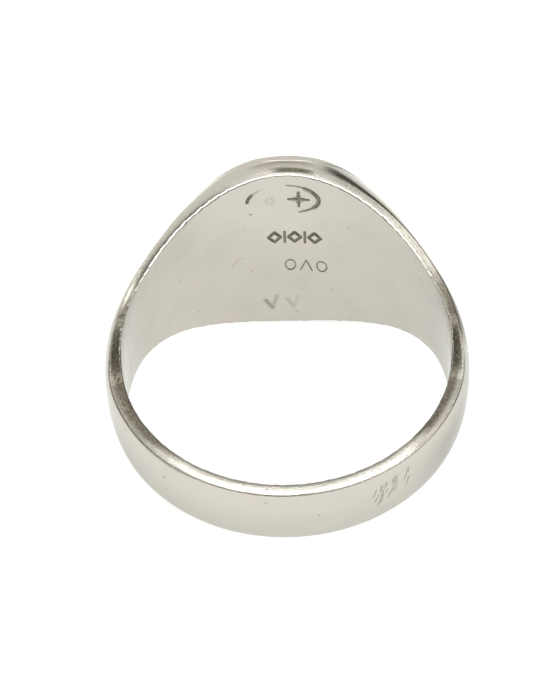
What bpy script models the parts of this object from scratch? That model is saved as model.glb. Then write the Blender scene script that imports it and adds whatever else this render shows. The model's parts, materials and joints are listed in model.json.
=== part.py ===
"""Signet ring lying on its side: shank, shoulders, signet block, back plate, table and solder films.

The ring is worked out in its own frame: the finger axis is Z and the head points to +Y. An empty then
tips it until the lower rim meets the ground at the head and at the back of the shank.
Angles run round the ring from the head's centre. Sizes are in millimetres until a mesh is written.
"""

import math

import bmesh
import bpy
from mathutils import Matrix, Vector

MM = 0.001

# Driving dimensions
BORE_RADIUS = 10.3  # US size 11
HEAD_HALF_WIDTH = 7.2  # along the finger, at the head's centre
SHOULDER_HALF_WIDTH = 3.25  # where the shoulders meet the shank
SHANK_HALF_WIDTH = 2.15  # round the back
TAPER_POWER = 1.06  # how sharply the head narrows
JOINT_ANGLE = 79.0  # where the shoulders meet the shank
SHANK_TAPER_END = 104.0
TABLE_HEIGHT = 12.42  # from the finger axis to the signet's face
TABLE_THICKNESS = 0.65
TABLE_CHAMFER = 0.2
HEAD_CROWN = 4.2  # wall over the bore if the head's dome were not cut flat
JOINT_CROWN = 1.2
SHANK_CROWN = 1.15
CROWN_FALL = (8.0, 57.0)  # angles between which the crown drops from the head to the shoulders
HEAD_RIM = 0.58  # the rim's flat side face
JOINT_RIM = 0.46
SHANK_RIM = 0.85
HEAD_ROUNDNESS = 2.5  # exponent of the section's superellipse
SHOULDER_ROUNDNESS = 1.75
SHANK_ROUNDNESS = 1.8
WAIST_ANGLE = 32.0  # where the shoulders are most peaked
BLOCK_ANGLE = 33.0  # where the signet block meets the shoulders
BACK_PLATE = 0.4
EDGE_BREAK = 0.1  # the small chamfer on the bore's edges
SOLDER_FILM = 0.12
GAP = 0.02  # left between neighbouring pieces

ANGLE_STEP = 4.0
CROWN_STEPS = 7  # facets from the rim to the crown's middle
TABLE_STEPS = 12  # facets in a quarter of the table's outline


def ease(t):
    """A smooth step from 0 to 1."""
    t = min(max(t, 0.0), 1.0)
    return 0.5 - 0.5 * math.cos(math.pi * t)


def between(start, end, t):
    return start + (end - start) * t


def half_width(angle):
    """Half of the ring's width along the finger."""
    angle = abs(angle)
    if angle < JOINT_ANGLE:
        fall = (1.0 - ease(angle / JOINT_ANGLE)) ** TAPER_POWER
        return between(SHOULDER_HALF_WIDTH, HEAD_HALF_WIDTH, fall)
    past = ease((angle - JOINT_ANGLE) / (SHANK_TAPER_END - JOINT_ANGLE))
    return between(SHOULDER_HALF_WIDTH, SHANK_HALF_WIDTH, past)


def rim(angle):
    """Thickness of the wall at its edge."""
    angle = abs(angle)
    if angle < JOINT_ANGLE:
        start = WAIST_ANGLE
        return between(HEAD_RIM, JOINT_RIM, ease((angle - start) / (JOINT_ANGLE - start)))
    return between(JOINT_RIM, SHANK_RIM, ease((angle - JOINT_ANGLE) / (SHANK_TAPER_END - JOINT_ANGLE)))


def crown(angle):
    """Thickness of the wall at the middle of its width."""
    angle = abs(angle)
    if angle < JOINT_ANGLE:
        start, end = CROWN_FALL
        return between(HEAD_CROWN, JOINT_CROWN, ease((angle - start) / (end - start)))
    return between(JOINT_CROWN, SHANK_CROWN, ease((angle - JOINT_ANGLE) / (SHANK_TAPER_END - JOINT_ANGLE)))


def roundness(angle):
    """Exponent of the section's superellipse: high is boxy, low is peaked."""
    angle = abs(angle)
    if angle < WAIST_ANGLE:
        return between(HEAD_ROUNDNESS, SHOULDER_ROUNDNESS, ease(angle / WAIST_ANGLE))
    rest = (angle - WAIST_ANGLE) / (JOINT_ANGLE - WAIST_ANGLE)
    return between(SHOULDER_ROUNDNESS, SHANK_ROUNDNESS, ease(rest))


def outer_radius(angle, across):
    """Radius of the outer surface, where across runs from -1 to 1 over the width."""
    power = roundness(angle)
    rise = max(1.0 - abs(across) ** power, 0.0) ** (1.0 / power)
    return BORE_RADIUS + between(rim(angle), crown(angle), rise)


def dome_half_width(x, height):
    """Half-width of the head's dome where a level plane cuts it, or 0 past the cut's end."""
    angle = math.degrees(math.atan2(x, height))
    wall = math.hypot(x, height) - BORE_RADIUS
    rise = (wall - rim(angle)) / (crown(angle) - rim(angle))
    if rise >= 1.0:
        return 0.0
    power = roundness(angle)
    return half_width(angle) * (1.0 - max(rise, 0.0) ** power) ** (1.0 / power)


def dome_half_length(height):
    """Where that cut ends on X, by halving the stretch that holds it."""
    low, high = 0.0, BORE_RADIUS
    for _ in range(50):
        middle = (low + high) / 2.0
        if dome_half_width(middle, height) > 0.0:
            low = middle
        else:
            high = middle
    return low


def angles_between(start, end):
    """Stations round the ring, the two ends included."""
    count = max(1, math.ceil((end - start) / ANGLE_STEP))
    return [between(start, end, i / count) for i in range(count + 1)]


def angle_of(length):
    """The angle that a length takes up at the bore."""
    return math.degrees(length / BORE_RADIUS)


def crown_points(angle):
    """The outer side of a section, from one rim to the other."""
    width = half_width(angle)
    points = []
    for i in range(-CROWN_STEPS, CROWN_STEPS + 1):
        across = math.sin(math.pi / 2.0 * i / CROWN_STEPS)
        points.append((outer_radius(angle, across), width * across))
    return points


def bore_points(angle):
    """The bore side of a section, with its broken edges, from one rim to the other."""
    width = half_width(angle)
    return [
        (BORE_RADIUS + EDGE_BREAK, width),
        (BORE_RADIUS, width - EDGE_BREAK),
        (BORE_RADIUS, EDGE_BREAK - width),
        (BORE_RADIUS + EDGE_BREAK, -width),
    ]


def full_section(angle):
    return crown_points(angle) + bore_points(angle)


def plate_section(angle):
    width = half_width(angle)
    back = BORE_RADIUS + BACK_PLATE
    return [(back, -width), (back, width)] + bore_points(angle)


def body_section(angle):
    """What lies outside the back plate."""
    width = half_width(angle)
    front = BORE_RADIUS + BACK_PLATE + GAP
    return crown_points(angle) + [(front, width), (front, -width)]


def on_ring(angle, radius, z):
    turn = math.radians(angle)
    return Vector((radius * math.sin(turn), radius * math.cos(turn), z))


def solid_from_loops(name, loops, material):
    """A closed body over loops of points with the same count, capped at both ends."""
    shape = bmesh.new()
    rows = [[shape.verts.new(point * MM) for point in loop] for loop in loops]
    for row, following in zip(rows, rows[1:]):
        for i in range(len(row)):
            j = (i + 1) % len(row)
            shape.faces.new((row[i], row[j], following[j], following[i]))
    shape.faces.new(rows[0])
    shape.faces.new(list(reversed(rows[-1])))
    bmesh.ops.recalc_face_normals(shape, faces=shape.faces)
    mesh = bpy.data.meshes.new(name)
    shape.to_mesh(mesh)
    shape.free()
    mesh.materials.append(material)
    mesh.shade_smooth()
    mesh.set_sharp_from_angle(angle=math.radians(30.0))
    item = bpy.data.objects.new(name, mesh)
    bpy.context.collection.objects.link(item)
    return item


def swept(name, start, end, section, material):
    """A section carried round the ring from one angle to another."""
    loops = [[on_ring(angle, *point) for point in section(angle)] for angle in angles_between(start, end)]
    return solid_from_loops(name, loops, material)


def level_outline(height, inset):
    """The closed outline of the head's dome at a height, drawn in all round by an inset."""
    length = dome_half_length(height)
    quarter = []
    for i in range(TABLE_STEPS + 1):
        x = length * math.sin(math.pi / 2.0 * i / TABLE_STEPS)
        quarter.append((x, dome_half_width(x, height) if i < TABLE_STEPS else 0.0))
    width = quarter[0][1]
    quarter = [(x * (1.0 - inset / length), z * (1.0 - inset / width)) for x, z in quarter]
    right = quarter + [(x, -z) for x, z in reversed(quarter[:-1])]
    return right + [(-x, z) for x, z in reversed(right[1:-1])]


def level_plate(name, layers, material):
    """A plate across the head: layers are (height the outline is taken at, inset, height it lies at)."""
    loops = []
    for outline_height, inset, height in layers:
        loops.append([Vector((x, height, z)) for x, z in level_outline(outline_height, inset)])
    return solid_from_loops(name, loops, material)


def cut_flat(item, height):
    """Takes away all of a piece that lies above a height."""
    size = 4.0 * BORE_RADIUS * MM
    bpy.ops.mesh.primitive_cube_add(size=size, location=(0.0, height * MM + size / 2.0, 0.0))
    cutter = bpy.context.object
    cutter.name = item.name + "_cutter"
    cutter.hide_render = True
    cutter.display_type = "WIRE"
    cut = item.modifiers.new("seat", "BOOLEAN")
    cut.operation = "DIFFERENCE"
    cut.solver = "EXACT"
    cut.object = cutter
    return cutter


def metal(name, color, roughness):
    material = bpy.data.materials.new(name)
    material.use_nodes = True
    shader = material.node_tree.nodes["Principled BSDF"]
    shader.inputs["Base Color"].default_value = (*color, 1.0)
    shader.inputs["Roughness"].default_value = roughness
    shader.inputs["Metallic"].default_value = 1.0
    return material


def build_head(silver, solder):
    """The back plate, the two shoulders, the signet block, and the table soldered on the block."""
    table_foot = TABLE_HEIGHT - TABLE_THICKNESS
    film_foot = table_foot - GAP - SOLDER_FILM
    seat = film_foot - GAP
    end = JOINT_ANGLE - angle_of(GAP)
    shoulder_start = BLOCK_ANGLE + angle_of(GAP)
    block = swept("signet_block", -BLOCK_ANGLE, BLOCK_ANGLE, body_section, silver("signet_block"))
    table_layers = [
        (table_foot, 0.0, table_foot),
        (TABLE_HEIGHT - TABLE_CHAMFER, 0.0, TABLE_HEIGHT - TABLE_CHAMFER),
        (TABLE_HEIGHT - TABLE_CHAMFER, TABLE_CHAMFER, TABLE_HEIGHT),
    ]
    film_layers = [
        (film_foot, GAP, film_foot),
        (film_foot, GAP, film_foot + SOLDER_FILM),
    ]
    pieces = [
        swept("back_plate", -end, end, plate_section, silver("back_plate")),
        swept("left_shoulder", -end, -shoulder_start, body_section, silver("left_shoulder")),
        swept("right_shoulder", shoulder_start, end, body_section, silver("right_shoulder")),
        block,
        level_plate("signet_table", table_layers, silver("signet_table")),
        level_plate("table_solder", film_layers, solder("table_solder")),
    ]
    return pieces, cut_flat(block, seat)


def build_shank(silver, solder):
    """The shank, and the two solder films that hold the head in it."""
    film = angle_of(SOLDER_FILM)
    start = JOINT_ANGLE + film + angle_of(GAP)
    full_turn = 360.0
    pieces = [swept("shank", start, full_turn - start, wrapped(full_section), silver("shank"))]
    for name, side in (("left_shank_solder", -1.0), ("right_shank_solder", 1.0)):
        ends = sorted((side * JOINT_ANGLE, side * (JOINT_ANGLE + film)))
        pieces.append(swept(name, *ends, full_section, solder(name)))
    return pieces


def wrapped(section):
    """The same section, for angles that run past half a turn."""
    half_turn = 180.0
    return lambda angle: section(angle if angle <= half_turn else 2.0 * half_turn - angle)


def resting_tilt():
    """How far the ring tips for its lower rim to meet the ground at the head and at the back."""
    drop = HEAD_HALF_WIDTH - SHANK_HALF_WIDTH
    reach = (BORE_RADIUS + EDGE_BREAK) + (BORE_RADIUS + SHANK_RIM)
    return math.atan2(drop, reach)


def lay_down(pieces, cutter):
    """Tips the ring on its side and stands the middle of its box's underside on the origin."""
    rest = bpy.data.objects.new("resting_pose", None)
    bpy.context.collection.objects.link(rest)
    for item in pieces + [cutter]:
        item.parent = rest
    tilt = Matrix.Rotation(resting_tilt(), 4, "X")
    corners = [tilt @ vertex.co for item in pieces if not item.modifiers for vertex in item.data.vertices]
    low = Vector([min(corner[axis] for corner in corners) for axis in range(3)])
    high = Vector([max(corner[axis] for corner in corners) for axis in range(3)])
    middle = (low + high) / 2.0
    rest.matrix_world = Matrix.Translation((-middle.x, -middle.y, -low.z)) @ tilt


def main():
    for item in list(bpy.data.objects):
        bpy.data.objects.remove(item, do_unlink=True)

    def silver(name):
        return metal(name + "_silver", (0.80, 0.77, 0.71), 0.24)

    def solder(name):
        return metal(name + "_alloy", (0.72, 0.68, 0.60), 0.38)

    head, cutter = build_head(silver, solder)
    lay_down(head + build_shank(silver, solder), cutter)


main()
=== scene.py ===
"""The looks of a worn sterling-silver signet ring, lying on its side on a pale floor.

Every piece is rebuilt on the CAD model's own sections at a fine pitch, with broken edges, punched marks,
nicks and a slightly uneven hand finish. The ring is worked out in its own frame, where the finger axis is
Z and the head points to +Y, in millimetres, and goes into the CAD frame when a mesh is written.
"""

import json
import math

import bmesh
import bpy
import numpy as np
from mathutils import Matrix, Vector


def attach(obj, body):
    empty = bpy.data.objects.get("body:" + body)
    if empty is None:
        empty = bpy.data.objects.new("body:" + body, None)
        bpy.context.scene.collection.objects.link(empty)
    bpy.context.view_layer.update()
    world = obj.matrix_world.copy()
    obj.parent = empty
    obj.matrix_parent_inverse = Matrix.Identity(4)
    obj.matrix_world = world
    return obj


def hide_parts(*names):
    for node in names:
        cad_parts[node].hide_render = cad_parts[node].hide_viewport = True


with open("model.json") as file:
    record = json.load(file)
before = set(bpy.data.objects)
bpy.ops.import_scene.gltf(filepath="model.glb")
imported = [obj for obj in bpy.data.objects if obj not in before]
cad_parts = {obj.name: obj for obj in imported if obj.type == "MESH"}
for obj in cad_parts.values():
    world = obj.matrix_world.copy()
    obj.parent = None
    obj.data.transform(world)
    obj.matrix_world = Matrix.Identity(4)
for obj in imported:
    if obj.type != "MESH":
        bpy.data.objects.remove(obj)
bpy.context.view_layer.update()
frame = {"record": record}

MM = 0.001

# The CAD model's driving dimensions, in millimetres and degrees
BORE_RADIUS = 10.3
HEAD_HALF_WIDTH = 7.2
SHOULDER_HALF_WIDTH = 3.25
SHANK_HALF_WIDTH = 2.15
TAPER_POWER = 1.06
JOINT_ANGLE = 79.0
SHANK_TAPER_END = 104.0
TABLE_HEIGHT = 12.42
TABLE_THICKNESS = 0.65
HEAD_CROWN = 4.2
JOINT_CROWN = 1.2
SHANK_CROWN = 1.15
CROWN_FALL = (8.0, 57.0)
HEAD_RIM = 0.58
JOINT_RIM = 0.46
SHANK_RIM = 0.85
HEAD_ROUNDNESS = 2.5
SHOULDER_ROUNDNESS = 1.75
SHANK_ROUNDNESS = 1.8
WAIST_ANGLE = 32.0
BLOCK_ANGLE = 33.0
BACK_PLATE = 0.4
SOLDER_FILM = 0.12

# The finish that the CAD model leaves out
SEAM = 0.002  # what is left of the gap between soldered pieces
RIM_CROWN = 0.045  # fall of the rim's face to its edges, over the square of its width
TABLE_EDGE = 0.26  # size of the rounding round the signet's face
EDGE_POWER = 1.35  # 1 is a flat chamfer, 2 a quarter round
MARK_DARKEST = 0.04  # depth at which a punched line is fully dark
SCRATCH_DARKEST = 0.03  # and a scratch
WALL_STEP = 0.5  # degrees between stations where nothing small happens
FINE_STEP = 0.25
SCRATCH_STEP = 0.1
MARK_PITCH = 0.032  # millimetres between points where the marks are punched
BURR = 0.1  # height of the lip round a punched line, as a share of its depth


# --- the ring's sections -------------------------------------------------------------------------

def ease(t):
    return 0.5 - 0.5 * np.cos(np.pi * np.clip(t, 0.0, 1.0))


def between(start, end, t):
    return start + (end - start) * t


def past_joint(angle):
    return ease((angle - JOINT_ANGLE) / (SHANK_TAPER_END - JOINT_ANGLE))


def half_width(angle):
    """Half of the ring's width along the finger."""
    angle = np.abs(angle)
    fall = (1.0 - ease(angle / JOINT_ANGLE)) ** TAPER_POWER
    head = between(SHOULDER_HALF_WIDTH, HEAD_HALF_WIDTH, fall)
    shank = between(SHOULDER_HALF_WIDTH, SHANK_HALF_WIDTH, past_joint(angle))
    return np.where(angle < JOINT_ANGLE, head, shank)


def rim(angle):
    """Thickness of the wall at its edge."""
    angle = np.abs(angle)
    head = between(HEAD_RIM, JOINT_RIM, ease((angle - WAIST_ANGLE) / (JOINT_ANGLE - WAIST_ANGLE)))
    return np.where(angle < JOINT_ANGLE, head, between(JOINT_RIM, SHANK_RIM, past_joint(angle)))


def crown(angle):
    """Thickness of the wall at the middle of its width."""
    angle = np.abs(angle)
    start, end = CROWN_FALL
    head = between(HEAD_CROWN, JOINT_CROWN, ease((angle - start) / (end - start)))
    return np.where(angle < JOINT_ANGLE, head, between(JOINT_CROWN, SHANK_CROWN, past_joint(angle)))


def roundness(angle):
    """Exponent of the section's superellipse."""
    angle = np.abs(angle)
    head = between(HEAD_ROUNDNESS, SHOULDER_ROUNDNESS, ease(angle / WAIST_ANGLE))
    rest = ease((angle - WAIST_ANGLE) / (JOINT_ANGLE - WAIST_ANGLE))
    return np.where(angle < WAIST_ANGLE, head, between(SHOULDER_ROUNDNESS, SHANK_ROUNDNESS, rest))


# Unevenness of the filed edge: (waves in a turn of the ring, share of the height)
FILE_WAVES = ((11.0, 0.4), (27.0, 0.5), (61.0, 0.6), (103.0, 0.7), (211.0, 0.6))
FILE_UNEVENNESS = 0.24


def bore_edge(angle):
    """Size of the broken edge along the bore: wide on the head's flanks, and uneven, as filed by hand."""
    flank = ease(np.abs(angle) / 24.0) * (1.0 - ease((np.abs(angle) - 34.0) / 26.0))
    filed = 0.0
    for waves, share in FILE_WAVES:
        filed = filed + share * np.sin(np.radians(waves * angle) + waves)
    return (0.09 + 0.055 * flank) * (1.0 + FILE_UNEVENNESS * filed)


def outer_edge(angle):
    """Size of the rounding along the rim's outer edge: widest where the shank's left side is worn."""
    worn = ease((-angle - 96.0) / 14.0) * (1.0 - ease((-angle - 140.0) / 15.0))
    return between(0.03, 0.075, ease((np.abs(angle) - JOINT_ANGLE) / 18.0)) + 0.075 * worn


def dome_half_width(x, height):
    """Half-width of the head's dome where a level plane cuts it, or 0 past the cut's end."""
    angle = np.degrees(np.arctan2(x, height))
    wall = np.hypot(x, height) - BORE_RADIUS
    rise = np.clip((wall - rim(angle)) / (crown(angle) - rim(angle)), 0.0, 1.0)
    power = roundness(angle)
    return half_width(angle) * (1.0 - rise**power) ** (1.0 / power)


def dome_half_length(height):
    """Where that cut ends on X, by halving the stretch that holds it."""
    low, high = 0.0, BORE_RADIUS
    for _ in range(50):
        middle = (low + high) / 2.0
        if dome_half_width(middle, height) > 0.0:
            low = middle
        else:
            high = middle
    return low


# --- the hand finish: waves, punched lines and nicks ---------------------------------------------

def make_waves(seed, count, shortest, longest):
    """Sine waves that close round the ring: (radians a millimetre round and across, phase, height)."""
    random = np.random.default_rng(seed)
    waves = []
    for _ in range(count):
        length = random.uniform(shortest, longest)
        turn = random.uniform(0.0, math.pi)
        pitch = 2.0 * math.pi / length
        along = round(pitch * math.cos(turn) * BORE_RADIUS) / BORE_RADIUS
        waves.append((along, pitch * math.sin(turn), random.uniform(0.0, 6.28), length / longest))
    return waves


def wave_height(waves, along, across):
    total = 0.0
    for pitch_along, pitch_across, phase, share in waves:
        total = total + share * np.sin(pitch_along * along + pitch_across * across + phase)
    return total / math.sqrt(len(waves))


OUTER_WAVES = make_waves(11, 14, 2.2, 7.0)
BORE_WAVES = make_waves(12, 10, 3.0, 9.0)
RIM_WAVES = make_waves(13, 14, 0.7, 3.5)
OUTER_WAVE_HEIGHT = 0.010
BORE_WAVE_HEIGHT = 0.006
RIM_WAVE_HEIGHT = 0.007


def distance_to_line(along, across, start, end):
    step = np.subtract(end, start)
    length = max(float(step @ step), 1e-9)
    t = np.clip(((along - start[0]) * step[0] + (across - start[1]) * step[1]) / length, 0.0, 1.0)
    return np.hypot(along - start[0] - t * step[0], across - start[1] - t * step[1])


def stroke_depth(along, across, strokes):
    """Depth of grooves with a lip: a stroke is (its points, half its width, first and last depth)."""
    depth = np.zeros(np.broadcast(along, across).shape)
    lip = np.zeros(depth.shape)
    for points, half, first, last in strokes:
        count = len(points) - 1
        for i in range(count):
            share = i / max(count - 1, 1)
            deep = between(first, last, share)
            away = distance_to_line(along, across, points[i], points[i + 1]) / half
            depth = np.maximum(depth, deep * (1.0 - ease(away)))
            lip = np.maximum(lip, BURR * deep * ease((away - 0.8) / 0.5) * (1.0 - ease((away - 1.3) / 0.7)))
    return depth - lip * (depth < 0.1 * lip.max())


def arc_points(center, radii, start, end, count):
    """Points along a stretch of an ellipse, in degrees from its right."""
    turns = np.radians(np.linspace(start, end, count))
    return [(center[0] + radii[0] * math.cos(t), center[1] + radii[1] * math.sin(t)) for t in turns]


def diamond(center, half_length, half_height):
    x, z = center
    right = (x + half_length, z)
    return [right, (x, z + half_height), (x - half_length, z), (x, z - half_height), right]


def bore_marks():
    """Plain geometric punches inside the head: a broken oval with a star, lozenges, rings and two ticks."""
    strokes = []
    center, radii = (-0.2, 4.95), (2.3, 1.3)
    for start, end, half, first, last in (
        (-64, -30, 0.12, 0.03, 0.06), (-30, 12, 0.2, 0.07, 0.09), (12, 52, 0.2, 0.09, 0.06),
        (52, 84, 0.1, 0.05, 0.02), (128, 150, 0.07, 0.012, 0.03), (150, 178, 0.16, 0.05, 0.09),
    ):
        strokes.append((arc_points(center, radii, start, end, 12), half, first, last))
    star, reach = np.array((0.8, 4.95)), 0.66
    for turn in range(4):
        way = np.array((math.cos(turn * math.pi / 2.0), math.sin(turn * math.pi / 2.0)))
        strokes.append(([star, star + reach * way], 0.11, 0.07, 0.05))
        strokes.append(([star, star + 0.45 * reach * way], 0.22, 0.07, 0.045))
    petal_center = (-1.05, 4.85)
    for turn in range(6):
        petal = np.radians(60.0 * turn)
        tip = (petal_center[0] + 0.27 * math.cos(petal), petal_center[1] + 0.27 * math.sin(petal))
        strokes.append((arc_points(tip, (0.1, 0.1), 0, 300, 7), 0.04, 0.018, 0.018))
    strokes.append(([(-2.36, 3.82), (-2.3, 3.82)], 0.07, 0.05, 0.05))
    row_height = 1.36
    for x in (-0.85, 0.46, 1.77):
        strokes.append((diamond((x, row_height), 0.4, 0.46), 0.15, 0.085, 0.075))
    for x in (-0.19, 1.12):
        strokes.append(([(x, row_height - 0.5), (x, row_height + 0.5)], 0.125, 0.075, 0.08))
    ring_height = -1.36
    for x in (0.12, 2.2):
        strokes.append((arc_points((x, ring_height), (0.33, 0.48), 0, 360, 24), 0.085, 0.045, 0.055))
    strokes.append(([(0.78, -1.86), (1.16, -0.9), (1.54, -1.86)], 0.085, 0.05, 0.055))
    tick_height = -5.1
    for x, depth in ((-1.2, 0.028), (0.25, 0.012)):
        tick = [(x - 0.45, tick_height + 0.3), (x, tick_height - 0.55), (x + 0.3, tick_height + 0.6)]
        strokes.append((tick, 0.26, depth, depth * 0.6))
    strokes.append(([(-3.8, -0.75), (-3.45, -0.3), (-2.95, -0.15)], 0.09, 0.02, 0.012))
    return strokes


def shank_scratches():
    """Scratches and pits on the outside of the shank, by (degrees round, millimetres across)."""
    random = np.random.default_rng(5)
    strokes = []
    for _ in range(26):
        start = (random.uniform(139.0, 151.5), random.uniform(0.0, 1.4))
        step = (random.uniform(0.3, 1.6), random.uniform(-0.65, -0.2))
        strokes.append(([start, (start[0] + step[0], start[1] + step[1])], 0.06, 0.026, 0.011))
    for start, end, half in (((220.1, 0.85), (220.6, 0.82), 0.08), ((240.6, 1.5), (240.9, 1.46), 0.07)):
        strokes.append(([start, end], half, 0.035, 0.035))
    for _ in range(26):
        start = (random.uniform(90.0, 270.0), random.uniform(-1.9, 1.9))
        step = (random.uniform(-2.0, 2.0), random.uniform(-0.25, 0.25))
        depth = random.uniform(0.002, 0.006)
        strokes.append(([start, (start[0] + step[0], start[1] + step[1])], 0.045, depth, 0.002))
    return strokes


def rim_nicks():
    """Nicks in the shank's upper rim, by (degrees round, millimetres out from the bore)."""
    random = np.random.default_rng(8)
    strokes = [
        ([(258.6, 0.2), (258.0, 0.42)], 0.05, 0.03, 0.02),
        ([(245.6, 0.38), (244.6, 0.66)], 0.05, 0.03, 0.03),
        ([(94.4, 0.36), (95.0, 0.52)], 0.06, 0.03, 0.03),
        ([(126.0, 0.5), (126.5, 0.6)], 0.06, 0.03, 0.03),
    ]
    for _ in range(90):
        start = (random.uniform(82.0, 278.0), random.uniform(0.12, 0.8))
        turn = random.uniform(0.0, 2.0 * math.pi)
        length = random.uniform(0.03, 0.22)
        end = (start[0] + 5.3 * length * math.cos(turn), start[1] + length * math.sin(turn))
        strokes.append(([start, end], 0.04, random.uniform(0.003, 0.012), 0.003))
    return strokes


# --- meshes --------------------------------------------------------------------------------------

def row_frame():
    """The matrix from the ring's own frame to the CAD frame, read from the signet face's mount."""
    face = next(mount for mount in frame["record"]["mounts"] if mount["name"] == "signet_face")
    normal = Vector(face["axis"])
    tilt = math.atan2(normal.z, normal.y)
    center = Vector((0.0, face["pos_m"][1], face["pos_m"][2])) - normal * TABLE_HEIGHT * MM
    return Matrix.Translation(center) @ Matrix.Rotation(tilt, 4, "X")


TO_ROW = row_frame()


def written(name, points, faces, lay, masks, material, nodes):
    """A mesh in the CAD frame that stands for CAD nodes, with its finish's attributes."""
    turned = points @ np.array(TO_ROW.to_3x3()).T * MM + np.array(TO_ROW.translation)
    mesh = bpy.data.meshes.new(name)
    mesh.from_pydata(turned, [], faces)
    shape = bmesh.new()
    shape.from_mesh(mesh)
    bmesh.ops.recalc_face_normals(shape, faces=shape.faces)
    shape.to_mesh(mesh)
    shape.free()
    place = mesh.attributes.new("lay", "FLOAT_VECTOR", "POINT")
    place.data.foreach_set("vector", lay.astype(np.float32).ravel())
    for title, values in masks.items():
        mask = mesh.attributes.new(title, "FLOAT", "POINT")
        mask.data.foreach_set("value", np.asarray(values, np.float32).ravel())
    mesh.materials.append(material)
    mesh.shade_smooth()
    mesh.set_sharp_from_angle(angle=math.radians(50.0))
    piece = bpy.data.objects.new(name, mesh)
    bpy.context.collection.objects.link(piece)
    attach(piece, "root")
    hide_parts(*nodes)
    return piece


def loop_faces(stations, count):
    """Quads between closed loops of points, and a cap at each end."""
    faces = []
    for i in range(stations - 1):
        low, high = i * count, (i + 1) * count
        for j in range(count):
            k = (j + 1) % count
            faces.append((low + j, low + k, high + k, high + j))
    faces.append(tuple(range(count)))
    faces.append(tuple(reversed(range((stations - 1) * count, stations * count))))
    return faces


def edge_curve(steps):
    """A broken edge from a face (0, 1) to the face square to it (1, 0), as shares of its size."""
    t = np.linspace(0.0, np.pi / 2.0, steps)
    return 1.0 - np.cos(t) ** (2.0 / EDGE_POWER), 1.0 - np.sin(t) ** (2.0 / EDGE_POWER)


class Section:
    """The parts of a closed section, each an array of (stations, points) radii, widths and rim masks."""

    def __init__(self, angles):
        self.angle = np.asarray(angles, float)[:, None]
        turned = np.where(self.angle > 180.0, self.angle - 360.0, self.angle)
        self.turned = turned
        self.width = half_width(turned)
        self.break_size = bore_edge(turned)
        self.corner = outer_edge(turned)
        self.inner = BORE_RADIUS + self.break_size
        self.outer = BORE_RADIUS + rim(turned) - self.corner
        self.fall = RIM_CROWN * (self.outer - self.inner) ** 2
        self.outer_fall = self.fall * past_joint(np.abs(turned) + 20.0)
        self.parts = []

    # painted_dark_line: a painted dark line along an edge, standing in for a dark reflection; it goes into
    # the mark mask.
    def add(self, radius, z, on_rim, painted_dark_line=0.0):
        shape = np.broadcast(radius, z, self.angle).shape
        self.parts.append([np.broadcast_to(v, shape) for v in (radius, z, on_rim, painted_dark_line)])

    def add_bore(self, z_share):
        self.add(BORE_RADIUS, z_share[None, ::-1] * (self.width - self.fall - self.break_size), 0.0)

    def add_bore_edge(self, side, steps=14):
        out, down = edge_curve(steps)
        if side > 0:
            out, down = out[::-1], down[::-1]
        out, down = out[None, :], down[None, :]
        z = side * (self.width - self.fall - self.break_size * down)
        # A painted dark line along the broken edge's bore side, standing in for a dark reflection; on the
        # shank it spreads over most of the edge.
        on_shank = ease((np.abs(self.turned) - 84.0) / 12.0)
        start = between(0.66, 0.0, on_shank)
        self.add(BORE_RADIUS + self.break_size * out, z, 0.4 * out**2, ease((down - start) / 0.3))

    def add_rim(self, side, start, end, steps=8):
        """The rim's slightly rounded face, going out on the lower side and in on the upper."""
        share = np.linspace(0.0, 1.0, steps)[None, :]
        radius = between(start, end, share if side < 0 else share[:, ::-1])
        middle = 2.0 * (radius - self.inner) / (self.outer - self.inner) - 1.0
        fall = np.where(middle < 0.0, self.fall, self.outer_fall)
        self.add(radius, side * (self.width - fall * middle**2), 1.0)

    def add_crown(self, steps=70, corner_steps=8):
        angle, width = self.turned, self.width
        low, high, power = rim(angle), crown(angle), roundness(angle)
        edge = 1.0 - self.corner / width
        t = np.arcsin(edge ** (power / 2.0)) * np.linspace(-1.0, 1.0, steps)[None, :]
        across = np.sign(t) * np.abs(np.sin(t)) ** (2.0 / power)
        radius = BORE_RADIUS + between(low, high, np.cos(t) ** (2.0 / power))
        steepness = (1.0 - edge**power) ** (1.0 / power - 1.0) * edge ** (power - 1.0)
        slope = -(high - low) * steepness / width
        top = width - self.outer_fall
        knee = radius[:, -1:] + slope * (top - edge * width)
        share = np.linspace(0.0, 1.0, corner_steps)[None, :-1]
        first, middle, last = (1 - share) ** 2, 2 * share * (1 - share), share**2
        bend_radius = first * self.outer + middle * knee + last * radius[:, -1:]
        bend_z = first * top + middle * top + last * edge * width
        # On the shank, a painted dark line along the rim's outer corner, standing in for a dark reflection.
        line = ease((np.abs(angle) - 84.0) / 20.0) * ease((share - 0.15) / 0.4)
        self.add(bend_radius, -bend_z, 1.0 - share, line)
        self.add(radius, across * width, 0.0)
        self.add(bend_radius[:, ::-1], bend_z[:, ::-1], (1.0 - share)[:, ::-1], line[:, ::-1])

    def joined(self):
        return [np.concatenate([part[i] for part in self.parts], axis=1) for i in range(4)]


def near(value, low, high, soft):
    """1 between two values, falling to 0 over a soft stretch outside each."""
    return ease((value - low + soft) / soft) * (1.0 - ease((value - high) / soft))


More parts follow.
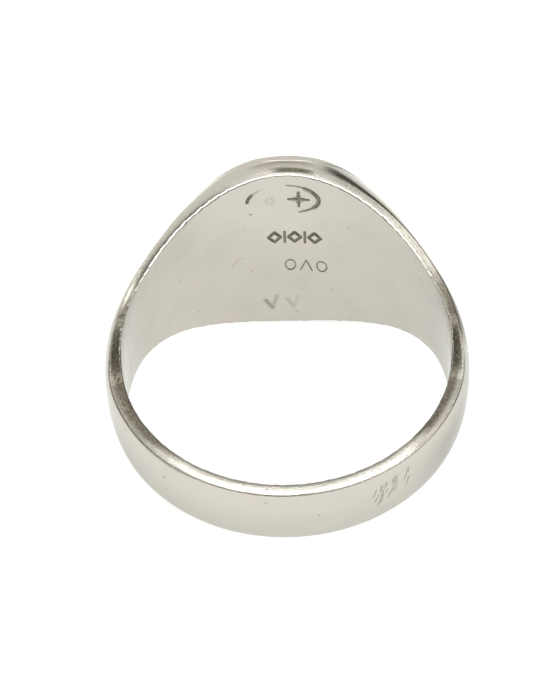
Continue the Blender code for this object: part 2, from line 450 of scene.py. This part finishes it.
def rim_tarnish_and_shade(angle, wall):
    """How dark the rim is made: darkest at the ring's sides, partly tarnish and partly painted dark
    reflection, and a painted dark line along the bore.
    """
    inner = 1.0 - ease((wall - 0.35) / 0.4)
    at_bore = 1.0 - ease((wall - 0.06) / 0.22)
    # The sides' darkening is partly tarnish and partly painted shade, standing in for mirrored dark
    # surroundings.
    left = near(angle, -126.0, -88.0, 22.0) * between(0.74, 1.0, inner)
    left_flank = 0.75 * near(angle, -76.0, -34.0, 20.0) * (1.0 - ease((wall - 0.14) / 0.26))
    right = near(angle, 70.0, between(130.0, 122.0, inner), 14.0) * between(0.56, 0.88, inner)
    everywhere = 0.04 + 0.1 * inner
    # A painted dark line along the bore edge of the shank's rim, standing in for a dark reflection.
    painted_bore_line = 0.6 * at_bore * (np.abs(angle) > 90.0)
    return np.clip(everywhere + painted_bore_line + left + left_flank + right, 0.0, 1.0)


def outside_painted_shade(angle, height):
    """Painted shade on the outer wall: darker along its lower part at the sides, and evenly a little darker
    at the back.
    """
    back = ease((np.abs(angle) - np.where(angle > 0.0, 115.0, 110.0)) / 26.0)
    side = ease((np.abs(angle) - 80.0) / 15.0) * (1.0 - back)
    top = 0.6 + 0.6 * (angle > 0.0) * (1.0 - ease((angle - 120.0) / 50.0))
    return 0.4 * side * ease((top - height) / 1.2) + 0.05 * back


def tarnish_and_shade_of(angle, radius, z, on_rim, width):
    """How dark the metal is made, from 0 to 1: tarnish, together with painted shade and painted dark
    reflections.
    """
    angle = np.where(angle > 180.0, angle - 360.0, angle)
    wall, height = radius - BORE_RADIUS, z / width
    outside = (on_rim == 0.0) * (wall > 0.1)
    tarnish_and_shade = np.maximum(on_rim * rim_tarnish_and_shade(angle, wall), outside * outside_painted_shade(angle, height))
    # A painted dark patch on the head's top beside the rim, standing in for a dark reflection.
    painted_head_patch = near(angle, -0.5, 6.0, 6.0) * near(wall, 0.32, 0.6, 0.12) * (z > 0.0)
    # Painted shade on the right shoulder's outer wall near its upper edge, standing in for a dark
    # reflection.
    shoulder = near(angle, 66.0, 84.0, 9.0) * near(height, 0.8, 1.1, 0.25) * (wall > 0.3)
    return np.maximum(tarnish_and_shade, np.maximum(0.95 * painted_head_patch, 0.8 * shoulder))


def finished(section, marks=(), scratches=(), nicks=()):
    """A section's points after the hand finish, with the attributes that its material reads."""
    radius, z, on_rim, painted_dark_line = section.joined()
    angle = np.broadcast_to(section.angle, radius.shape)
    arc = np.radians(angle) * BORE_RADIUS
    on_bore = (radius <= BORE_RADIUS) * 1.0
    wall = BORE_WAVE_HEIGHT * wave_height(BORE_WAVES, arc, z)
    skin = OUTER_WAVE_HEIGHT * wave_height(OUTER_WAVES, arc, z)
    side = RIM_WAVE_HEIGHT * wave_height(RIM_WAVES, arc, radius) * np.sign(z) * on_rim
    mark = stroke_depth(arc, z, marks) * on_bore
    moved = radius + mark + np.where(radius < section.inner, wall * on_bore, skin * (1.0 - on_rim))
    outer_arc = np.radians(1.0) * (BORE_RADIUS + SHANK_CROWN)
    cut = stroke_depth(angle * outer_arc, z, round_from_degrees(scratches, outer_arc))
    cut = cut * (1.0 - on_bore) * (1.0 - on_rim)
    moved = moved - cut
    rim_arc = np.radians(1.0) * BORE_RADIUS
    nick = stroke_depth(angle * rim_arc, radius - BORE_RADIUS, round_from_degrees(nicks, rim_arc))
    side = side - nick * (z > 0.9 * section.width)
    turn = np.radians(angle)
    points = np.stack([moved * np.sin(turn), moved * np.cos(turn), z + side], axis=-1).reshape(-1, 3)
    lay = np.stack([arc, z + (radius - BORE_RADIUS), radius], axis=-1).reshape(-1, 3)
    # Tarnish together with painted shade and painted dark reflections; the mark mask also carries the
    # painted dark edge lines.
    tarnish_and_shade = tarnish_and_shade_of(angle, radius, z, on_rim, section.width)
    dark = np.clip(mark / MARK_DARKEST + cut / SCRATCH_DARKEST, 0.0, 1.0)
    masks = {"rim": on_rim.ravel(), "tarnish_and_shade": tarnish_and_shade.ravel(), "mark": np.maximum(dark, painted_dark_line).ravel()}
    return points, loop_faces(*radius.shape), lay, masks


def round_from_degrees(strokes, scale):
    """Strokes given by (degrees round, millimetres), as (millimetres round, millimetres)."""
    moved = []
    for points, half, first, last in strokes:
        moved.append(([(a * scale, b) for a, b in points], half, first, last))
    return moved


def stations(*stretches):
    """Angles over stretches of (start, end, step), each stretch's end being the next one's start."""
    runs = []
    for start, end, step in stretches:
        runs.append(np.linspace(start, end, max(2, round((end - start) / step) + 1))[:-1])
    return np.concatenate(runs + [[stretches[-1][1]]])


def angle_of(length):
    return math.degrees(length / BORE_RADIUS)


def full_section(angles, crown_steps=70, bore_steps=34):
    """The whole wall, from the bore to the crown."""
    section = Section(angles)
    section.add_crown(crown_steps)
    section.add_rim(1, section.inner, section.outer, 16)
    section.add_bore_edge(1)
    section.add_bore(np.linspace(-1.0, 1.0, bore_steps)[1:-1])
    section.add_bore_edge(-1)
    section.add_rim(-1, section.inner, section.outer, 16)
    return section


def make_shank(material):
    start = JOINT_ANGLE + angle_of(SOLDER_FILM + SEAM)
    scratched = (137.0, 155.0, SCRATCH_STEP)
    angles = stations((start, 137.0, FINE_STEP), scratched, (155.0, 360.0 - start, FINE_STEP))
    section = full_section(angles, 130)
    points, faces, lay, masks = finished(section, scratches=shank_scratches(), nicks=rim_nicks())
    return written("shank_metal", points, faces, lay, masks, material, ["shank"])


def make_back_plate(material):
    end = JOINT_ANGLE - angle_of(SEAM)
    fine = angle_of(MARK_PITCH)
    section = Section(stations((-end, -23.0, WALL_STEP), (-23.0, 15.0, fine), (15.0, end, WALL_STEP)))
    back = BORE_RADIUS + BACK_PLATE
    section.add(back, (section.width - section.fall) * np.array([[-1.0, 1.0]]), 0.0)
    section.add_rim(1, section.inner, back - SEAM, 7)
    section.add_bore_edge(1)
    across = np.linspace(-1.0, 1.0, round(2.0 * HEAD_HALF_WIDTH / MARK_PITCH))
    section.add_bore(across[1:-1])
    section.add_bore_edge(-1)
    section.add_rim(-1, section.inner, back - SEAM, 7)
    points, faces, lay, masks = finished(section, marks=bore_marks())
    return written("back_plate_metal", points, faces, lay, masks, material, ["back_plate"])


def body_section(angles, crown_steps=90):
    """What lies outside the back plate."""
    section = Section(angles)
    section.add_crown(crown_steps)
    section.add_rim(1, BORE_RADIUS + BACK_PLATE, section.outer, 5)
    section.add_rim(-1, BORE_RADIUS + BACK_PLATE, section.outer, 5)
    return section


def make_shoulders(material):
    start, end = BLOCK_ANGLE + angle_of(SEAM), JOINT_ANGLE - angle_of(SEAM)
    for name, low, high in (("left_shoulder", -end, -start), ("right_shoulder", start, end)):
        section = body_section(stations((low, high, WALL_STEP)))
        points, faces, lay, masks = finished(section)
        written(name + "_metal", points, faces, lay, masks, material, [name])


def make_block(material):
    """The signet block: the head's dome, cut level for the table's solder."""
    section = body_section(stations((-BLOCK_ANGLE, BLOCK_ANGLE, WALL_STEP)), 120)
    points, faces, lay, masks = finished(section)
    seat = TABLE_HEIGHT - TABLE_THICKNESS - SOLDER_FILM - SEAM
    shape = bmesh.new()
    places = shape.verts.layers.float_vector.new("lay")
    layers = {title: shape.verts.layers.float.new(title) for title in masks}
    verts = [shape.verts.new(point) for point in points]
    for i, vert in enumerate(verts):
        vert[places] = lay[i]
        for title, layer in layers.items():
            vert[layer] = masks[title][i]
    for face in faces:
        shape.faces.new([verts[i] for i in face])
    bmesh.ops.bisect_plane(
        shape, geom=shape.verts[:] + shape.edges[:] + shape.faces[:],
        plane_co=(0, seat, 0), plane_no=(0, 1, 0), clear_outer=True,
    )
    cut_edges = [edge for edge in shape.edges if edge.is_boundary]
    bmesh.ops.edgeloop_fill(shape, edges=cut_edges)
    bmesh.ops.recalc_face_normals(shape, faces=shape.faces)
    shape.verts.index_update()
    points = np.array([vert.co for vert in shape.verts])
    lay = np.array([vert[places] for vert in shape.verts])
    masks = {title: [vert[layer] for vert in shape.verts] for title, layer in layers.items()}
    faces = [[vert.index for vert in face.verts] for face in shape.faces]
    shape.free()
    return written("signet_block_metal", points, faces, lay, masks, material, ["signet_block"])


def level_outline(height, inset, steps=48):
    """The closed outline of the head's dome at a height, drawn in all round by an inset."""
    length = dome_half_length(height)
    t = np.linspace(0.0, np.pi / 2.0, steps)
    x = length * np.sin(t)
    z = dome_half_width(x, height)
    z[-1] = 0.0
    x, z = x * (1.0 - inset / length), z * (1.0 - inset / z[0])
    x = np.concatenate([x, x[-2::-1], -x[1:], -x[-2:0:-1]])
    z = np.concatenate([z, -z[-2::-1], -z[1:], z[-2:0:-1]])
    return x, z


def level_piece(name, layers, material, nodes):
    """A piece that lies across the head: layers are (height of the outline, inset, height it lies at)."""
    loops, lays = [], []
    for outline_height, inset, height in layers:
        x, z = level_outline(outline_height, inset)
        loops.append(np.stack([x, np.full_like(x, height), z], axis=1))
        lays.append(np.stack([x, z, np.full_like(x, height)], axis=1))
    points, lay = np.concatenate(loops), np.concatenate(lays)
    masks = {title: np.zeros(len(points)) for title in ("rim", "tarnish_and_shade", "mark")}
    return written(name, points, loop_faces(len(loops), len(loops[0])), lay, masks, material, nodes)


def make_table(material, solder):
    foot = TABLE_HEIGHT - TABLE_THICKNESS
    shoulder = TABLE_HEIGHT - TABLE_EDGE
    layers = [(height, 0.0, height) for height in np.linspace(foot, shoulder, 6)]
    inset, drop = edge_curve(12)
    for draw, fall in zip(inset[1:], drop[1:]):
        layers.append((shoulder, TABLE_EDGE * draw, TABLE_HEIGHT - TABLE_EDGE * fall))
    level_piece("signet_table_metal", layers, material, ["signet_table"])
    film = foot - SOLDER_FILM
    layers = [(film, 0.03, film), (film, 0.01, film + SOLDER_FILM / 2.0), (film, 0.03, foot)]
    level_piece("table_solder_line", layers, solder, ["table_solder"])


def make_shank_solder(solder):
    film = angle_of(SOLDER_FILM)
    for name, side in (("left_shank_solder", -1.0), ("right_shank_solder", 1.0)):
        low, high = sorted((side * JOINT_ANGLE, side * (JOINT_ANGLE + film)))
        points, faces, lay, masks = finished(full_section(stations((low, high, film / 4.0))))
        written(name + "_line", points, faces, lay, masks, solder, [name])


# --- materials -----------------------------------------------------------------------------------

class Nodes:
    """A short way to lay out a node tree."""

    def __init__(self, tree):
        self.tree = tree

    def add(self, kind, settings=None, **inputs):
        node = self.tree.nodes.new(kind)
        for name, value in (settings or {}).items():
            setattr(node, name, value)
        for name, value in inputs.items():
            self.put(node.inputs[name.replace("_", " ")], value)
        return node

    def put(self, socket, value):
        if isinstance(value, bpy.types.NodeSocket):
            self.tree.links.new(value, socket)
        else:
            socket.default_value = value

    def math(self, operation, first, second=0.0):
        node = self.tree.nodes.new("ShaderNodeMath")
        node.operation = operation
        self.put(node.inputs[0], first)
        self.put(node.inputs[1], second)
        return node.outputs[0]

    def fit(self, value, low, high, to_low, to_high):
        node = self.add("ShaderNodeMapRange", {"interpolation_type": "SMOOTHSTEP"})
        for i, item in enumerate((value, low, high, to_low, to_high)):
            self.put(node.inputs[i], item)
        return node.outputs[0]

    def blend(self, factor, first, second):
        node = self.add("ShaderNodeMix", {"data_type": "RGBA"})
        for i, item in ((0, factor), (6, first), (7, second)):
            self.put(node.inputs[i], item)
        return node.outputs[2]

    def stretched(self, vector, scale, turn=0.0):
        node = self.add("ShaderNodeMapping", {"vector_type": "POINT"}, Vector=vector)
        node.inputs["Rotation"].default_value = (0.0, 0.0, math.radians(turn))
        node.inputs["Scale"].default_value = scale
        return node.outputs[0]

    def noise(self, vector, scale, detail=3.0, roughness=0.55):
        inputs = {"Vector": vector, "Scale": scale, "Detail": detail, "Roughness": roughness}
        return self.add("ShaderNodeTexNoise", **inputs).outputs["Fac"]

    def attribute(self, name):
        return self.add("ShaderNodeAttribute", {"attribute_name": name})

    def dashes(self, vector, turn, along, across, size):
        """Short straight scratches: 1 in the scratch, 0 beside it. Counts are per millimetre."""
        turned = self.stretched(vector, (1.0, 1.0, 1.0), turn)
        node = self.add(
            "ShaderNodeTexVoronoi", {"voronoi_dimensions": "2D"},
            Vector=self.stretched(turned, (along, across, 1.0)), Scale=1.0, Randomness=1.0,
        )
        return self.fit(node.outputs["Distance"], size * 0.35, size, 1.0, 0.0)


# Fine scratches: (degrees from the way round the finger, dashes a millimetre along and across, thickness)
SCRATCHES = (
    (8.0, 0.22, 3.2, 0.07),
    (-34.0, 0.5, 4.0, 0.06),
    (63.0, 0.45, 3.6, 0.06),
    (-78.0, 0.7, 5.0, 0.07),
)
BUMP_DEPTH = 0.004 * MM


def silver(name, clean, warm, tarnish_and_shade_color, gloss, line_strength):
    """Worn metal: polish lines, scratches and pits, with tarnish in the marks and along the rims, and
    painted shade and painted dark reflections mixed in through the same masks and dark colour.
    """
    material = bpy.data.materials.new("worn_" + name)
    material["slot"] = name
    material.use_nodes = True
    nodes = Nodes(material.node_tree)
    shader = material.node_tree.nodes["Principled BSDF"]
    shader.inputs["Metallic"].default_value = 1.0
    lay = nodes.attribute("lay").outputs["Vector"]
    place = nodes.stretched(nodes.add("ShaderNodeTexCoord").outputs["Object"], (1.0 / MM,) * 3)
    on_rim, tarnish_and_shade, mark = (nodes.attribute(name).outputs["Fac"] for name in ("rim", "tarnish_and_shade", "mark"))

    x, y, _ = nodes.add("ShaderNodeSeparateXYZ", Vector=place).outputs
    across = nodes.add("ShaderNodeSeparateXYZ", Vector=lay).outputs[1]
    drawn = nodes.add("ShaderNodeCombineXYZ", X=x, Y=y, Z=across).outputs[0]
    cloud = nodes.noise(place, 0.3, 3.0)
    tint = nodes.noise(nodes.stretched(place, (1.0, 1.0, 1.0), 40.0), 0.42, 3.0)
    speckle = nodes.noise(place, 7.0, 4.0, 0.65)
    polish = nodes.noise(nodes.stretched(drawn, (0.5, 0.5, 9.0)), 1.0, 4.0, 0.7)
    grit = nodes.noise(place, 20.0, 3.0, 0.6)
    scratches = 0.0
    for dash in SCRATCHES:
        scratches = nodes.math("MAXIMUM", scratches, nodes.dashes(lay, *dash))
    pits = nodes.add("ShaderNodeTexVoronoi", {"voronoi_dimensions": "2D"}, Vector=lay, Scale=0.21)
    pit = nodes.fit(pits.outputs["Distance"], 0.006, 0.016, 1.0, 0.0)

    # Mixes in the dark colour: tarnish, plus painted shade, painted dark reflections and painted dark edge
    # lines.
    least = nodes.math("SUBTRACT", 0.92, nodes.math("MULTIPLY", on_rim, 0.12))
    stain_and_painted_shade = nodes.math("MULTIPLY", tarnish_and_shade, nodes.fit(speckle, 0.36, 0.64, least, 1.0))
    mark_stain_and_painted_line = nodes.math("MULTIPLY", mark, nodes.fit(speckle, 0.3, 0.7, 0.62, 0.9))
    stain_and_painted_shade = nodes.math("MAXIMUM", stain_and_painted_shade, mark_stain_and_painted_line)
    stain_and_painted_shade = nodes.math("MAXIMUM", stain_and_painted_shade, nodes.math("MULTIPLY", pit, 0.6))
    stain_and_painted_shade = nodes.math("MAXIMUM", stain_and_painted_shade, nodes.fit(cloud, 0.4, 0.7, 0.0, 0.05))
    metal = nodes.blend(nodes.fit(tint, 0.35, 0.65, 0.0, 1.0), (*clean, 1.0), (*warm, 1.0))
    nodes.put(shader.inputs["Base Color"], nodes.blend(stain_and_painted_shade, metal, (*tarnish_and_shade_color, 1.0)))
    shader.inputs["Specular Tint"].default_value = (0.84, 0.85, 0.84, 1.0)

    rough = nodes.fit(cloud, 0.3, 0.7, gloss, gloss + 0.06)
    for first, second in (
        (on_rim, nodes.fit(grit, 0.3, 0.7, 0.0, 0.07)),
        (scratches, 0.06),
        (on_rim, nodes.fit(tarnish_and_shade, 0.0, 1.0, -0.03, 0.1)),
    ):
        rough = nodes.math("ADD", rough, nodes.math("MULTIPLY", first, second))
    nodes.put(shader.inputs["Roughness"], rough)

    uneven = nodes.math("MULTIPLY", nodes.math("ADD", grit, nodes.math("MULTIPLY", speckle, 2.0)), 0.9)
    height = nodes.math("MULTIPLY", polish, line_strength)
    rough_rim = nodes.math("MULTIPLY", on_rim, nodes.fit(tarnish_and_shade, 0.0, 0.8, 2.2, 0.75))
    height = nodes.math("ADD", height, nodes.math("MULTIPLY", uneven, nodes.math("ADD", rough_rim, 0.05)))
    height = nodes.math("SUBTRACT", height, nodes.math("MULTIPLY", scratches, 0.4))
    height = nodes.math("SUBTRACT", height, nodes.math("MULTIPLY", pit, 1.2))
    bump = nodes.add("ShaderNodeBump", Height=height, Strength=1.0, Distance=BUMP_DEPTH)
    nodes.put(shader.inputs["Normal"], bump.outputs[0])
    return material


FLOOR_GLOW = 0.58
FLOOR_HALF_SIZE = 1.2


def paper():
    """A pale sheet on a light table, for the floor."""
    material = bpy.data.materials.new("pale_paper")
    material.use_nodes = True
    nodes = Nodes(material.node_tree)
    shader = material.node_tree.nodes["Principled BSDF"]
    shader.inputs["Roughness"].default_value = 0.9
    shader.inputs["Specular IOR Level"].default_value = 0.1
    place = nodes.add("ShaderNodeTexCoord").outputs["Object"]
    grain = nodes.noise(place, 900.0, 3.0)
    pale = nodes.blend(grain, (0.49, 0.49, 0.487, 1.0), (0.51, 0.51, 0.507, 1.0))
    nodes.put(shader.inputs["Base Color"], pale)
    shader.inputs["Emission Color"].default_value = (1.0, 1.0, 0.99, 1.0)
    shader.inputs["Emission Strength"].default_value = FLOOR_GLOW
    return material


# --- camera, floor and light ---------------------------------------------------------------------

CAMERA_DISTANCE = 0.150
CAMERA_RISE = 50.95  # degrees above the ring's own middle plane
CAMERA_SIDE = 2.33  # degrees to the right of the ring's back
CAMERA_ROLL = 2.58  # degrees
CAMERA_LENS = 122.25
CAMERA_SHIFT = (-0.0104, 0.0320)


def make_camera():
    """Looks at the ring's centre from behind the shank, in the ring's own frame."""
    rise, side = math.radians(CAMERA_RISE), math.radians(CAMERA_SIDE)
    back = Vector((math.sin(side) * math.cos(rise), -math.cos(side) * math.cos(rise), math.sin(rise)))
    right = Vector((math.cos(side), math.sin(side), 0.0))
    turn = Matrix((right, back.cross(right), back)).transposed().to_4x4()
    turn = turn @ Matrix.Rotation(math.radians(-CAMERA_ROLL), 4, "Z")
    lens = bpy.data.cameras.new("camera")
    lens.lens = CAMERA_LENS
    lens.shift_x, lens.shift_y = CAMERA_SHIFT
    lens.clip_start = 0.005
    camera = bpy.data.objects.new("camera", lens)
    bpy.context.collection.objects.link(camera)
    camera.matrix_world = TO_ROW @ Matrix.Translation(back * CAMERA_DISTANCE) @ turn
    bpy.context.scene.camera = camera


def make_floor():
    shape = bmesh.new()
    bmesh.ops.create_grid(shape, x_segments=4, y_segments=4, size=FLOOR_HALF_SIZE)
    mesh = bpy.data.meshes.new("floor")
    shape.to_mesh(mesh)
    shape.free()
    mesh.materials.append(paper())
    floor = bpy.data.objects.new("floor", mesh)
    bpy.context.collection.objects.link(floor)


def make_light():
    """A faint overhead light that the metal doesn't mirror."""
    light = bpy.data.lights.new("overhead", "AREA")
    light.size = 0.9
    light.energy = 0.4
    item = bpy.data.objects.new("overhead", light)
    bpy.context.collection.objects.link(item)
    item.location = (0.0, 0.1, 0.9)
    item.rotation_euler = (-item.location).to_track_quat("-Z", "Y").to_euler()
    item.visible_glossy = False


# The tent's panels, painted one over the other. Each is (lowest and highest degrees of the arc from the
# viewer's horizon, over the top, to the far one; lowest and highest share of the way to the right, from
# -1 to 1; softness in degrees; colour).
OPEN_TENT = (1.06, 1.05, 1.0)
PANELS = [
    (24.0, 46.0, -0.95, 0.95, 5.0, (5.2, 5.25, 5.3)),  # a strip light low on the viewer's side
    (44.0, 97.0, 0.20, 0.75, 5.0, (2.1, 2.1, 2.05)),  # a soft box to the right
    (95.0, 112.0, 0.22, 0.46, 5.0, (1.8, 1.78, 1.7)),  # the soft box's foot
    (44.0, 98.0, -0.28, 0.22, 5.0, (0.17, 0.16, 0.125)),  # the viewer
    (98.0, 108.6, -0.26, 0.25, 2.0, (7.0, 7.1, 7.2)),  # a strip light just behind the top
    (108.6, 120.0, -0.20, 0.18, 2.0, (0.4, 0.385, 0.33)),  # the gap behind it
    (99.0, 126.0, 0.50, 0.95, 5.0, (0.20, 0.19, 0.15)),  # its far side
    (120.0, 158.0, 0.30, 0.85, 6.0, (0.08, 0.08, 0.06)),  # a dark card to the right
    (134.0, 139.0, -0.3, 0.2, 3.0, (0.3, 0.29, 0.23)),  # the far wall's foot
    (5.0, 22.0, -0.97, 0.97, 3.0, (0.04, 0.04, 0.03)),  # the near edge
]


def make_sky():
    """A pale tent with bright and dark panels, which the metal mirrors."""
    world = bpy.data.worlds.new("tent")
    world.use_nodes = True
    bpy.context.scene.world = world
    nodes = Nodes(world.node_tree)
    background = world.node_tree.nodes["Background"]
    toward = nodes.add("ShaderNodeTexCoord").outputs["Generated"]
    parts = nodes.add("ShaderNodeSeparateXYZ", Vector=toward)
    right = parts.outputs[0]
    toward_viewer = nodes.math("MULTIPLY", parts.outputs[1], -1.0)
    over = nodes.math("ARCTAN2", parts.outputs[2], toward_viewer)
    over = nodes.math("MULTIPLY", over, math.degrees(1.0))
    color = (*OPEN_TENT, 1.0)
    for low, high, left_end, right_end, soft, paint in PANELS:
        share = 1.0
        for value, start, end, half in (
            (over, low, high, soft / 2.0),
            (right, left_end, right_end, soft / 180.0),
        ):
            share = nodes.math("MULTIPLY", share, nodes.fit(value, start - half, start + half, 0.0, 1.0))
            share = nodes.math("MULTIPLY", share, nodes.fit(value, end - half, end + half, 1.0, 0.0))
        color = nodes.blend(share, color, (*paint, 1.0))
    nodes.put(background.inputs["Color"], color)


def main():
    # A dark colour for tarnish and for painted shade.
    tarnish_and_shade_color = (0.08, 0.068, 0.046)
    cool, warm = (0.531, 0.518, 0.47), (0.55, 0.519, 0.467)
    metal = silver("sterling_silver", cool, warm, tarnish_and_shade_color, gloss=0.17, line_strength=0.35)
    cool, warm = (0.51, 0.495, 0.44), (0.52, 0.495, 0.435)
    solder = silver("silver_solder", cool, warm, tarnish_and_shade_color, gloss=0.24, line_strength=0.5)
    make_shank(metal)
    make_back_plate(metal)
    make_shoulders(metal)
    make_block(metal)
    make_table(metal, solder)
    make_shank_solder(solder)
    make_camera()
    make_floor()
    make_sky()
    make_light()
    bpy.context.scene.view_settings.view_transform = "Standard"


main()
